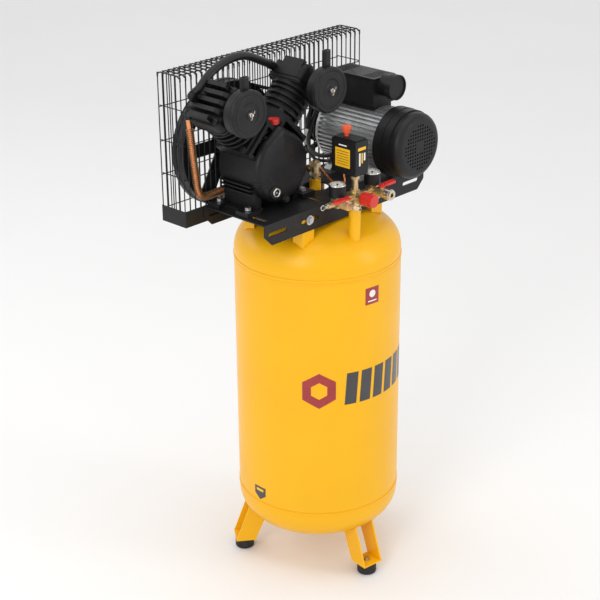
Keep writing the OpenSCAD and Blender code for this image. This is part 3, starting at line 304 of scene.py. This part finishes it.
def stitch(bm, rings, loop=False):
    """Joins rings of equal length with quads; loop also joins the last ring to the first."""
    n = len(rings[0])
    for a, b in zip(rings, rings[1:] + (rings[:1] if loop else [])):
        for k in range(n):
            j = (k + 1) % n
            bm.faces.new((a[k], a[j], b[j], b[k]))


def lathe(profile, steps=72, closed=False):
    """Surface of revolution about Z; profile is (radius, height) pairs, a zero radius closes it."""
    bm = bmesh.new()
    rings = []
    for r, h in profile:
        if r < 1e-6:
            rings.append([bm.verts.new((0, 0, h))])
        else:
            rings.append([bm.verts.new((r * math.cos(TAU * k / steps),
                                        r * math.sin(TAU * k / steps), h))
                          for k in range(steps)])
    pairs = list(zip(rings, rings[1:]))
    if closed:
        pairs.append((rings[-1], rings[0]))
    for a, b in pairs:
        for k in range(steps):
            j = (k + 1) % steps
            if len(a) == 1 and len(b) == 1:
                continue
            if len(a) == 1:
                bm.faces.new((a[0], b[k], b[j]))
            elif len(b) == 1:
                bm.faces.new((a[k], a[j], b[0]))
            else:
                bm.faces.new((a[k], a[j], b[j], b[k]))
    return bm


def rounded(profile, radius, steps=4):
    """Rounds the inner corners of a lathe profile."""
    out = [profile[0]]
    for a, b, c in zip(profile, profile[1:], profile[2:]):
        a, b, c = Vector(a), Vector(b), Vector(c)
        u, w = (a - b), (c - b)
        d = min(radius, u.length * 0.45, w.length * 0.45)
        p, q = b + u.normalized() * d, b + w.normalized() * d
        for k in range(steps + 1):
            t = k / steps
            out.append(tuple((1 - t) ** 2 * p + 2 * t * (1 - t) * b + t * t * q))
    out.append(profile[-1])
    return out


def smooth_path(points, steps=8):
    """Points of a smooth curve through the given ones."""
    pts = [Vector(p) for p in points]
    out = []
    for i in range(len(pts) - 1):
        a, b = pts[max(i - 1, 0)], pts[i]
        c, e = pts[i + 1], pts[min(i + 2, len(pts) - 1)]
        for k in range(steps + (i == len(pts) - 2)):
            t = k / steps
            out.append(0.5 * (2 * b + (c - a) * t + (2 * a - 5 * b + 4 * c - e) * t * t
                              + (3 * b - a - 3 * c + e) * t ** 3))
    return out


def frames(path):
    """Tangent and two normals at each point, carried along without twist."""
    n = len(path)
    t = [(path[min(i + 1, n - 1)] - path[max(i - 1, 0)]).normalized() for i in range(n)]
    u = t[0].orthogonal().normalized()
    out = []
    for i in range(n):
        u = (u - t[i] * u.dot(t[i])).normalized()
        out.append((t[i], u, t[i].cross(u)))
    return out


def sweep(path, radius, sides=16):
    """Round tube along a path, closed at both ends."""
    bm = bmesh.new()
    rings = []
    for p, (_, u, v) in zip(path, frames(path)):
        rings.append([bm.verts.new(p + radius * (math.cos(TAU * k / sides) * u
                                                 + math.sin(TAU * k / sides) * v))
                      for k in range(sides)])
    stitch(bm, rings)
    bm.faces.new(list(reversed(rings[0])))
    bm.faces.new(rings[-1])
    return bm


def join(target, other):
    """Adds one mesh to another."""
    me = bpy.data.meshes.new("tmp")
    other.to_mesh(me)
    other.free()
    target.from_mesh(me)
    bpy.data.meshes.remove(me)


def plate(outline, thick):
    """Flat plate on Z = 0 from an outline in X and Y."""
    bm = bmesh.new()
    low = [bm.verts.new((x, y, 0)) for x, y in outline]
    high = [bm.verts.new((x, y, thick)) for x, y in outline]
    bm.faces.new(list(reversed(low)))
    bm.faces.new(high)
    stitch(bm, [low, high])
    return bm


def polygon(r, n, start=0):
    """Outline with n corners on a circle."""
    return [(r * math.cos(math.radians(start + 360 * k / n)),
             r * math.sin(math.radians(start + 360 * k / n))) for k in range(n)]


def rect(w, h, r=0.0, steps=5):
    """Outline of a rectangle, with round corners if r is given."""
    if r <= 0:
        return [(-w / 2, -h / 2), (w / 2, -h / 2), (w / 2, h / 2), (-w / 2, h / 2)]
    out = []
    for cx, cy, a0 in ((w / 2 - r, -h / 2 + r, -90), (w / 2 - r, h / 2 - r, 0),
                       (-w / 2 + r, h / 2 - r, 90), (-w / 2 + r, -h / 2 + r, 180)):
        for k in range(steps + 1):
            a = math.radians(a0 + 90 * k / steps)
            out.append((cx + r * math.cos(a), cy + r * math.sin(a)))
    return out


# ---------------------------------------------------------------- softened castings

# bevel width in millimetres
SOFT = {
    "crankcase": 3.0, "cylinder_heads": 2.0, "cylinders": 0.9, "valve_plates": 0.5,
    "motor_shields": 1.2, "motor_frame": 0.5, "terminal_box": 2.0, "switch_cover": 1.6,
    "switch_base": 0.8, "bed_plate": 0.8, "guard_strip": 0.5, "legs": 0.8, "bed_brackets": 0.6,
    "frame_bolts": 0.5, "pump_bolts": 0.5, "flywheel": 1.2, "motor_pulley": 0.8,
    "manifold": 0.7, "outlet_valves": 0.5, "check_valve": 0.6, "hose_fittings": 0.5,
    "oil_cap": 0.8, "oil_fittings": 0.5, "regulator_knob": 0.9, "switch_knob": 1.4,
    "lever_left": 1.0, "lever_right": 1.0, "fan_cover": 1.0, "tank_risers": 0.6,
    "filter_housings": 1.0, "coupler_sleeve": 0.6, "safety_valve": 0.4, "tank_drain": 0.5,
}
for node, width in SOFT.items():
    soften(frame["nodes"][node], width, 32, dissolve=True)


# ---------------------------------------------------------------- tank dressing

def wrap_on_tank(outline, turn, z, proud, name, mat):
    """A flat shape wrapped on the tank wall, turn degrees round the axis."""
    bm = bmesh.new()
    bm.faces.new([bm.verts.new((x, y, 0)) for x, y in outline])
    bmesh.ops.triangulate(bm, faces=bm.faces[:])
    for _ in range(3):
        bmesh.ops.subdivide_edges(bm, edges=[e for e in bm.edges if e.calc_length() > 9], cuts=1)
        bmesh.ops.triangulate(bm, faces=bm.faces[:])
    a0 = math.radians(turn)
    r = TANK_R + proud
    for v in bm.verts:
        a = a0 + v.co.x / TANK_R
        v.co = Vector((r * math.cos(a), r * math.sin(a), z + v.co.y))
    return put(name, bm, mat)


def weld_ring(name, steps, section):
    """Closed bead round an axis; section(angle) gives one slice's eight points."""
    bm = bmesh.new()
    rings = [[bm.verts.new(p) for p in section(TAU * i / steps)] for i in range(steps)]
    stitch(bm, rings, loop=True)
    put(name, bm, M["tank_yellow"], sharp=80)


def seam_bead(z, name):
    """Weld between the shell and a head."""
    def section(a):
        wave = 0.12 * math.sin(61 * a) + 0.1 * math.sin(23 * a + 1)
        for k in range(8):
            b = TAU * k / 8
            r = 199.4 + 1.5 * math.cos(b)
            yield r * math.cos(a), r * math.sin(a), z + wave + 2.4 * math.sin(b)
    weld_ring(name, 220, section)


def riser_fillet(x, y, r, name):
    """Weld round the foot of a pipe on the top head."""
    def section(a):
        z = TOP_Z + dish_h(math.hypot(x + r * math.cos(a), y + r * math.sin(a)))
        g = 1.9 + 0.25 * math.sin(9 * a)
        for k in range(8):
            b = TAU * k / 8
            out = r + g * math.cos(b)
            yield x + out * math.cos(a), y + out * math.sin(a), z + 0.4 + g * math.sin(b)
    weld_ring(name, 48, section)


SEAM_LOW_Z, SEAM_HIGH_Z, RISER_R = 200.5, 801.5, 14.2
seam_bead(SEAM_LOW_Z, "seam_low")
seam_bead(SEAM_HIGH_Z, "seam_high")
riser_fillet(RISER_X, RISER_Y, RISER_R, "riser_weld_front")
riser_fillet(CHECK_X, CHECK_Y, RISER_R, "riser_weld_mid")

finish_mat("decal_red", (0.33, 0.012, 0.014), (0.28, 0.010, 0.012), (0.38, 0.016, 0.018),
           (0.25, 0.34), tone_scale=30, bumps=((500, 0.00003, 2.0),), coat=0.4)
finish_mat("decal_dark", (0.035, 0.032, 0.034), (0.03, 0.028, 0.03), (0.042, 0.04, 0.042),
           (0.3, 0.4), tone_scale=30, bumps=((500, 0.00003, 2.0),), coat=0.3)
finish_mat("decal_white", (0.80, 0.79, 0.76), (0.74, 0.73, 0.70), (0.84, 0.83, 0.80), (0.35, 0.45),
           tone_scale=30, bumps=((500, 0.00003, 2.0),))
finish_mat("decal_yellow", (0.84, 0.46, 0.01), (0.80, 0.43, 0.01), (0.87, 0.49, 0.015),
           (0.35, 0.45), tone_scale=30, bumps=((500, 0.00003, 2.0),))

# turn and height of the labels' middles
LABEL_TURN, LABEL_Z = -97.8, 757
BADGE_TURN, BADGE_Z = -136.2, 531
BLOCK_TURN, BLOCK_STEP = -113.8, 11.2
MARK_TURN, MARK_Z = 177.3, 222
ON_PAINT, ON_LABEL = 0.3, 0.5


def tank_labels():
    """Plain marks where the tank's labels are."""
    wrap_on_tank(rect(40, 42, 1.5), LABEL_TURN, LABEL_Z, ON_PAINT, "label_square",
                 M["decal_red"])
    wrap_on_tank(rect(26, 3.2, 1), LABEL_TURN, LABEL_Z - 13, ON_LABEL, "label_bar",
                 M["decal_white"])
    wrap_on_tank(polygon(9, 24), LABEL_TURN, LABEL_Z + 5, ON_LABEL, "label_dot",
                 M["decal_white"])
    wrap_on_tank(polygon(46, 6, 30), BADGE_TURN, BADGE_Z, ON_PAINT, "badge_hex",
                 M["decal_red"])
    wrap_on_tank(polygon(22, 6, 30), BADGE_TURN, BADGE_Z, ON_LABEL, "badge_core",
                 M["tank_yellow"])
    slanted = [(-17, -41), (13, -41), (19, 41), (-11, 41)]
    for k in range(6):
        wrap_on_tank(slanted, BLOCK_TURN + BLOCK_STEP * k, BADGE_Z, ON_PAINT,
                     "badge_block_%d" % k, M["decal_dark"])
    shield = [(-19, 16), (19, 16), (19, -6), (0, -20), (-19, -6)]
    wrap_on_tank(shield, MARK_TURN, MARK_Z, ON_PAINT, "badge_small", M["decal_dark"])
    wrap_on_tank(rect(24, 7, 1), MARK_TURN, MARK_Z + 7, ON_LABEL, "badge_small_bar",
                 M["decal_yellow"])


tank_labels()


# ---------------------------------------------------------------- pump dressing

COVER_LOW, COVER_R, TIP_R, COVER_SPAN = -20, 82, 13, 82


def teardrop(inset, n=96):
    """Outline round two circles, shrunk by inset, in X and Z about the crank axis."""
    ra = COVER_R - inset
    rb = max(TIP_R - inset, 1.2)
    d = (ra - rb) / ((COVER_R - TIP_R) / COVER_SPAN)
    turn = math.acos((ra - rb) / d)
    up = math.pi / 2
    out = []
    big = int(n * 0.7)
    for k in range(big):
        a = up + turn + (TAU - 2 * turn) * k / (big - 1)
        out.append((ra * math.cos(a), COVER_LOW + ra * math.sin(a)))
    small = n - big
    for k in range(small):
        a = up - turn + 2 * turn * (k + 0.5) / small
        out.append((rb * math.cos(a), d + COVER_LOW + rb * math.sin(a)))
    return out


def cover_levels(grow):
    """(inset, y) steps over the cover's round shoulder, grow millimetres outside it."""
    for k in range(9):
        a = math.radians(90 * k / 8)
        yield (15 * (1 - math.cos(a)) - grow * math.cos(a),
               -33 - 15 * math.sin(a) - grow * math.sin(a))


def cover_rings(bm, levels):
    rings = [[bm.verts.new((x, y, z)) for x, z in teardrop(i)] for i, y in levels]
    stitch(bm, rings)
    return rings


def cover():
    """The pump's smooth front cover, with bosses for the sight glass and the drain plug."""
    bm = bmesh.new()
    rings = cover_rings(bm, [(0, -30), *cover_levels(0), (24, -49.4), (36, -50.6), (50, -51.5)])
    mid = bm.verts.new((0, -51.8, -18))
    last = rings[-1]
    for k in range(len(last)):
        bm.faces.new((last[k], last[(k + 1) % len(last)], mid))
    bm.faces.new(list(reversed(rings[0])))
    for x, y, z, r in ((-32, -39, -68, 16), (0, -40, -91, 9)):
        boss = lathe(rounded([(0, 0), (r + 1.5, 0), (r, 12), (r - 1, 15), (0, 15)], 1.2), 40)
        boss.transform(at(x, y, z) @ FRONT)
        join(bm, boss)
    ob = put("pump_front_cover", bm, M["cast_black"], at(PUMP_X, 0, CRANK_Z),
             sharp=50)
    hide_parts("crankcase_cover")


cover()

# each filter's axis: distance out along its bank, and shift across it
FILTER_OUT, FILTER_SHIFT = 187.4, 6.4
FILTER_Y, NUT_Y, WING_TURN = -63, -73.2, 60


def filter_cover():
    face = rounded([(53, 0), (53, 3.4), (51.6, 4.2), (53, 5.0), (53, 8.6), (50.5, 11.8),
                    (45, 12), (42.5, 10.2), (40, 11.4), (27, 11.4), (24, 9.0), (15, 9.0),
                    (12, 10.2), (0, 10.2)], 0.9, 3)
    return lathe([(0, 6.0), (49.5, 6.0), (49.5, 0.0)] + face, 96)


def wing_nut():
    nut = lathe(rounded([(3.2, 0), (6.4, 0), (5.4, 6.5), (3.2, 6.5)], 0.8, 2), 32)
    for k in (-1, 1):
        bend = [(math.sin(math.pi * i / 13), i / 13) for i in range(14)]
        ring = [(k * (4.5 + 5.8 * w * 1.15), 2.5 + 9 * t + 2.2 * w) for w, t in bend]
        wing = bmesh.new()
        low = [wing.verts.new((x, -1.1, z)) for x, z in ring]
        high = [wing.verts.new((x, 1.1, z)) for x, z in ring]
        wing.faces.new(list(reversed(low)))
        wing.faces.new(high)
        stitch(wing, [low, high])
        join(nut, wing)
    return nut


def wing_stud():
    thread = [(2.9 if i % 2 else 2.5, -25.5 + i * 1.02) for i in range(36)]
    return lathe([(0, -26)] + thread + [(0, 11.6)], 24)


def filters():
    """Filter covers, their wing nuts and studs."""
    c = math.sqrt(0.5)
    z = CRANK_Z + FILTER_OUT * c + FILTER_SHIFT * c
    for side, tag in ((-1, "left"), (1, "right")):
        x = PUMP_X + side * (FILTER_OUT * c - FILTER_SHIFT * c)
        lid = put("filter_cover_" + tag, filter_cover(), M["black_plastic"],
                  at(x, FILTER_Y, z) @ FRONT, sharp=60)
        turned = Matrix.Rotation(math.radians(WING_TURN), 4, "Z")
        nut = put("wing_nut_" + tag, wing_nut(), M["bolt_steel"],
                  at(x, NUT_Y, z) @ FRONT @ turned, sharp=40)
        put("wing_stud_" + tag, wing_stud(), M["brass"],
            at(x, NUT_Y, z) @ FRONT, sharp=60)
        if side > 0:
            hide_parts("filter_covers")
            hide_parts("filter_wing_nuts")


filters()

DISCHARGE = [(-317, 90, 1186), (-314, 90, 1160), (-309, 90, 1110), (-303, 90, 1060),
             (-297, 90, 1020), (-289, 90, 1002), (-272, 90, 995), (-240, 90, 996),
             (-190, 90, 999), (-130, 90, 1003), (-75, 86, 1007), (-42, 68, 1011),
             (-22, 53, 1013), (-12.7, 38, 1013), (-8.8, 22.4, 1013)]


def helix_fin(points, start, stop, pitch, r0, r1, per_turn=20):
    """Thin strip wound round a path, from start after its beginning to stop before its end."""
    path = smooth_path(points, 24)
    fr = frames(path)
    run = [0.0]
    for a, b in zip(path, path[1:]):
        run.append(run[-1] + (b - a).length)
    bm = bmesh.new()
    rings, i, d = [], 0, start
    while d < run[-1] - stop:
        while i < len(run) - 2 and run[i + 1] < d:
            i += 1
        f = (d - run[i]) / max(run[i + 1] - run[i], 1e-6)
        p = path[i].lerp(path[i + 1], f)
        t, u, v = fr[i]
        a = TAU * d / pitch
        e = math.cos(a) * u + math.sin(a) * v
        rings.append([bm.verts.new(p + e * r0 - t * 0.4), bm.verts.new(p + e * r1 - t * 0.2),
                      bm.verts.new(p + e * r1 + t * 0.2), bm.verts.new(p + e * r0 + t * 0.4)])
        d += pitch / per_turn
    bm.faces.new(rings[0])
    stitch(bm, rings)
    bm.faces.new(list(reversed(rings[-1])))
    return bm


PIPE_R, FIN_R, FIN_PITCH, FIN_START, FIN_STOP = 6.2, 9.3, 4.6, 22, 60
pipe = put("discharge_pipe", sweep(smooth_path(DISCHARGE, 10), PIPE_R, 20), M["copper_new"],
           sharp=60)
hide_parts("discharge_tube")
put("discharge_fin", helix_fin(DISCHARGE, FIN_START, FIN_STOP, FIN_PITCH, PIPE_R - 0.6, FIN_R),
    M["copper_aged"], sharp=60)
paint(frame["nodes"]["unloader_tube"], M["copper_new"])
paint(frame["nodes"]["hose_fittings"], M["cast_black"])
paint(frame["nodes"]["valve_plates"], M["cast_black"])
paint(frame["nodes"]["pump_bolts"], M["black_steel"])


SIGHT = at(-192, -53, 1017) @ FRONT
DRAIN = at(-160, -54, 994) @ FRONT


def oil_fittings():
    """Sight glass with its bright ring, and the black drain plug under it."""
    ring = lathe(rounded([(7.2, 0), (11.0, 0), (11.0, 3.4), (9.6, 4.9), (8.2, 4.9), (7.2, 3.6),
                          (7.2, 0)], 0.7, 3), 48)
    ob = put("sight_ring", ring, M["nickel"], SIGHT)
    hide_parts("oil_fittings")
    glass = lathe([(0, 2.6), (7.4, 2.2), (7.4, 0), (0, 0)], 40)
    put("sight_glass", glass, M["black_plastic"], SIGHT)
    dot = lathe([(0, 2.9), (1.7, 2.8), (1.7, 2.2), (0, 2.2)], 24)
    put("sight_dot", dot, M["nickel"], SIGHT)
    plug = bmesh.new()
    join(plug, plate(polygon(8.6, 30), 1.2))
    hexagon = plate(polygon(7.6, 6), 3.2)
    hexagon.transform(at(0, 0, 1.1))
    join(plug, hexagon)
    put("drain_plug", plug, M["black_steel"], DRAIN, bevel=0.4)


oil_fittings()

LINE_H, LINE_IN, LINE_BACK = 3.2, 1.6, 1.2


def band_line(z0, name):
    """Low raised line round the lower part of the front cover, from z0 upwards."""
    bm = bmesh.new()
    cover_rings(bm, [(-0.9, -31), *cover_levels(0.9), (24, -50.3), (34, -51.2)])
    for z, up in ((z0, -1), (z0 + LINE_H, 1)):
        bmesh.ops.bisect_plane(bm, geom=bm.verts[:] + bm.edges[:] + bm.faces[:], dist=1e-5,
                               plane_co=(0, 0, z), plane_no=(0, 0, up), clear_outer=True)
    ret = bmesh.ops.extrude_face_region(bm, geom=bm.faces[:])
    for v in ret["geom"]:
        if isinstance(v, bmesh.types.BMVert):
            v.co -= Vector((v.co.x, 0, v.co.z - COVER_LOW)).normalized() * LINE_IN
            v.co.y += LINE_BACK
    put(name, bm, M["cast_black"], at(PUMP_X, 0, CRANK_Z), sharp=40)


for k, z in enumerate((-40, -47.5, -55)):
    band_line(z, "cover_line_%d" % k)


# ---------------------------------------------------------------- second motor lead

LEAD = [(129, 80, 1156), (106, 84, 1154), (88, 90, 1142), (78, 95, 1118), (74, 95, 1092),
        (64, 94, 1068), (50, 82, 1040), (36, 50, 1026), (24, 24, 1024), (14, -22, 1034),
        (-16, -62, 1056), (-32, -82, 1068), (-46, -97.5, 1076)]
LEAD_R, SLEEVE_R, SLEEVE_SPAN = 4.0, 4.9, slice(38, 49)
lead_path = smooth_path(LEAD)
put("second_lead", sweep(lead_path, LEAD_R, 14), M["cable"], sharp=60)
put("second_lead_sleeve", sweep(lead_path[SLEEVE_SPAN], SLEEVE_R), M["sleeve_white"],
    sharp=60)


# ---------------------------------------------------------------- gauges

def lens_mat():
    """Thin clear glass."""
    n = Nodes("gauge_lens")
    for socket, value in (("Base Color", (1, 1, 1, 1)), ("Transmission Weight", 1.0),
                          ("Roughness", 0.03), ("IOR", 1.2), ("Alpha", 0.25)):
        n.bsdf.inputs[socket].default_value = value
    n.link(n.bump(n.noise(200, 2.0), 0.00002), n.bsdf.inputs["Normal"])
    return n.mat


LENS = lens_mat()
GAUGE_Z, GAUGE_H = 1006, 29.6
MARKS, LONG_EVERY, RED_MARKS = 31, 5, 8


def round_marks(count, angle, tick):
    """Marks round a dial: angle(k) in degrees, tick(k) is (length, width, thickness, radius)."""
    bm = bmesh.new()
    for k in range(count):
        long, wide, thick, r = tick(k)
        mark = plate(rect(long, wide), thick)
        mark.transform(Matrix.Rotation(math.radians(angle(k)), 4, "Z") @ at(r, 0, 0))
        join(bm, mark)
    return bm


def gauge(side, tag):
    """Case, bright rim, dial, marks and lens; side is -1 on the left and 1 on the right."""
    h = GAUGE_H

    def fit(part, bm, mat, up, sharp):
        return put("gauge_%s_%s" % (part, tag), bm, mat,
                   at(RISER_X + side * OUTLET_DX, RISER_Y, GAUGE_Z + up), sharp=sharp)

    case = lathe(rounded([(0, 0), (17.2, 0), (19.2, 1.6), (19.2, h - 2.4), (17.6, h - 2.4),
                          (17.6, h - 3), (0, h - 3)], 0.6, 3), 72)
    ob = fit("case", case, M["black_plastic"], 0, 50)
    if side > 0:
        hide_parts("gauge_cases")
    rim = lathe([(19.5, h - 2.6), (19.5, h - 0.6), (19.0, h - 0.1), (18.3, h),
                 (17.7, h - 0.4), (17.7, h - 2.6)], 72, closed=True)
    fit("rim", rim, M["nickel"], 0, 50)
    dial = lathe([(0, 0.5), (17.5, 0.5), (17.5, 0.1), (0, 0.1)], 64)
    fit("dial", dial, M["decal_white"], h - 2.95, 40)
    marks = round_marks(MARKS, lambda k: 220 - 260 * k / (MARKS - 1),
                        lambda k: (2.0, 0.4, 0.12, 14.8) if k % LONG_EVERY
                        else (3.6, 0.7, 0.12, 14.0))
    fit("marks", marks, M["decal_dark"], h - 2.44, 40)
    band = round_marks(RED_MARKS, lambda k: 20 - 60 * k / RED_MARKS,
                       lambda k: (1.1, 1.6, 0.1, 16.2))
    fit("band", band, M["red_plastic"], h - 2.44, 40)
    glass = lathe([(0, 0), (17.6, 0), (17.6, 0.25), (0, 0.25)], 64)
    fit("lens", glass, LENS, h - 0.5, 60)


gauge(-1, "left")
gauge(1, "right")


# ---------------------------------------------------------------- labels on the switch

SIDE_X, SIDE_Y, FRONT_Y = -57, -131, -170
TO_LEFT, TO_FRONT = (-1, 0, 0), (0, -1, 0)


def sticker(name, w, h, centre, normal, mat):
    """Thin label facing along normal."""
    n = Vector(normal)
    up = Vector((0, 0, 1))
    m = Matrix((up.cross(n).normalized(), up, n)).transposed().to_4x4()
    put(name, plate(rect(w, h, 0.8, 3), 0.2), mat, at(*centre) @ m, sharp=40)


sticker("switch_sticker", 44, 44, (SIDE_X, SIDE_Y, 1083), TO_LEFT, M["decal_yellow"])
for k in range(6):
    sticker("switch_rule_%d" % k, 36, 1.1, (SIDE_X - 0.2, SIDE_Y, 1098 - 6 * k), TO_LEFT,
            M["decal_dark"])
sticker("switch_strip", 24, 3, (SIDE_X, SIDE_Y, 1112), TO_LEFT, M["decal_white"])
sticker("switch_front_band", 26, 7, (RISER_X, FRONT_Y, 1107), TO_FRONT, M["decal_yellow"])
for k in range(3):
    sticker("switch_front_rule_%d" % k, 5, 30 - 6 * k, (-43 + 8 * k, FRONT_Y, 1083 + 2 * k),
            TO_FRONT, M["decal_white"] if k != 1 else M["decal_yellow"])

# ---------------------------------------------------------------- floor

FLOOR_M, FLOOR_CELLS = 14, 24


def make_floor():
    bm = bmesh.new()
    n = FLOOR_CELLS
    grid = [[bm.verts.new(((i / n - 0.5) * FLOOR_M, (j / n - 0.5) * FLOOR_M, 0))
             for j in range(n + 1)] for i in range(n + 1)]
    for i in range(n):
        for j in range(n):
            bm.faces.new((grid[i][j], grid[i + 1][j], grid[i + 1][j + 1], grid[i][j + 1]))
    me = bpy.data.meshes.new("floor")
    bm.to_mesh(me)
    bm.free()
    ob = bpy.data.objects.new("floor", me)
    bpy.context.scene.collection.objects.link(ob)
    paint(ob, finish_mat("floor_paint", (0.86, 0.86, 0.86), (0.85, 0.85, 0.85),
                         (0.87, 0.87, 0.87), (0.55, 0.65), tone_scale=1.0,
                         bumps=((300, 0.00005, 2.0),)))


make_floor()
